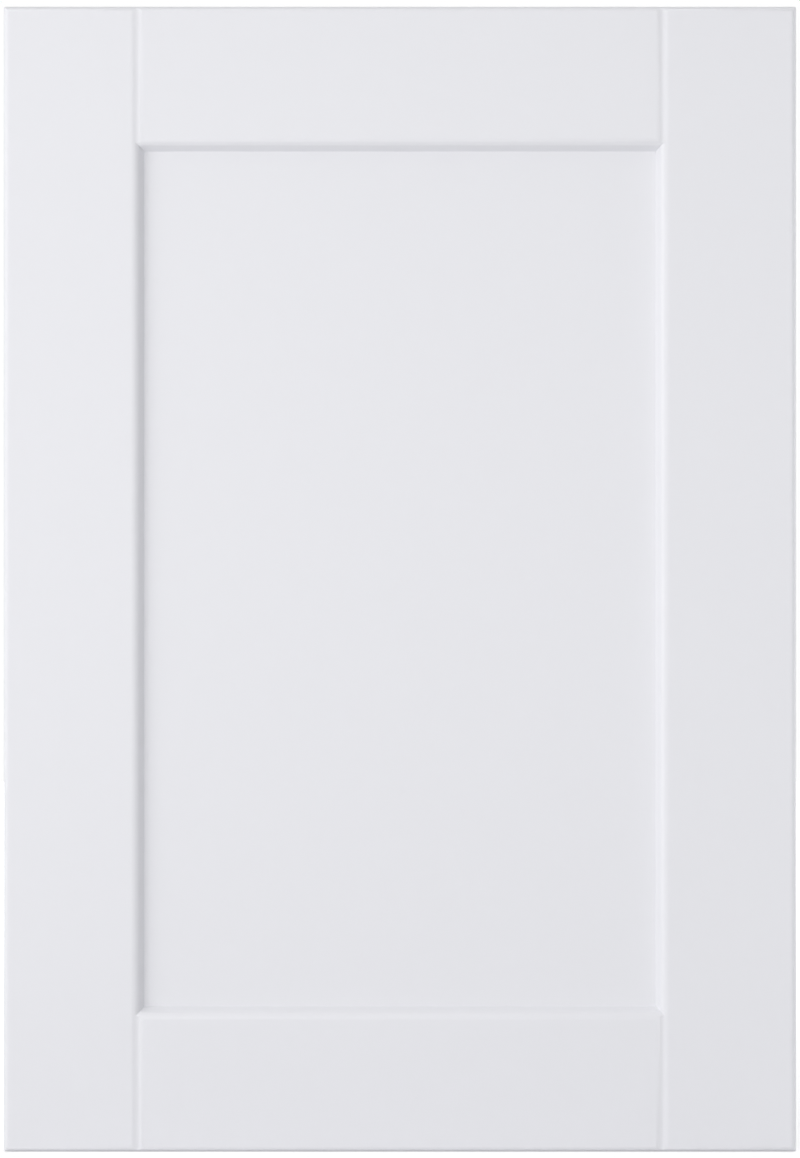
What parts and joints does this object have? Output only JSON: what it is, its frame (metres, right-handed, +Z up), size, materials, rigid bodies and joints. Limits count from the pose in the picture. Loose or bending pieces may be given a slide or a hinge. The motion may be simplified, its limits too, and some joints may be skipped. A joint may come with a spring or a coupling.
{
  "type": "cabinet door",
  "caption": "Shaker door for a kitchen cabinet: coped stiles and rails frame a flat recessed panel, with blind bores for cup hinges in the back of one stile.",
  "frame": {"origin": "middle of the bottom edge, halfway through the thickness", "axes": "+Z up the door, +X to the right as seen from the front, -Y out of the front face"},
  "size_m": [0.495, 0.02, 0.715],
  "materials": {
    "lacquer": "satin white lacquer on fibreboard",
    "dowel": "bare fluted beech"
  },
  "bodies": {
    "root": {"left_stile": "lacquer", "right_stile": "lacquer", "bottom_rail": "lacquer", "top_rail": "lacquer", "centre_panel": "lacquer", "dowel_left_bottom_1": "dowel", "dowel_left_bottom_2": "dowel", "dowel_left_top_1": "dowel", "dowel_left_top_2": "dowel", "dowel_right_bottom_1": "dowel", "dowel_right_bottom_2": "dowel", "dowel_right_top_1": "dowel", "dowel_right_top_2": "dowel"}
  },
  "joints": []
}
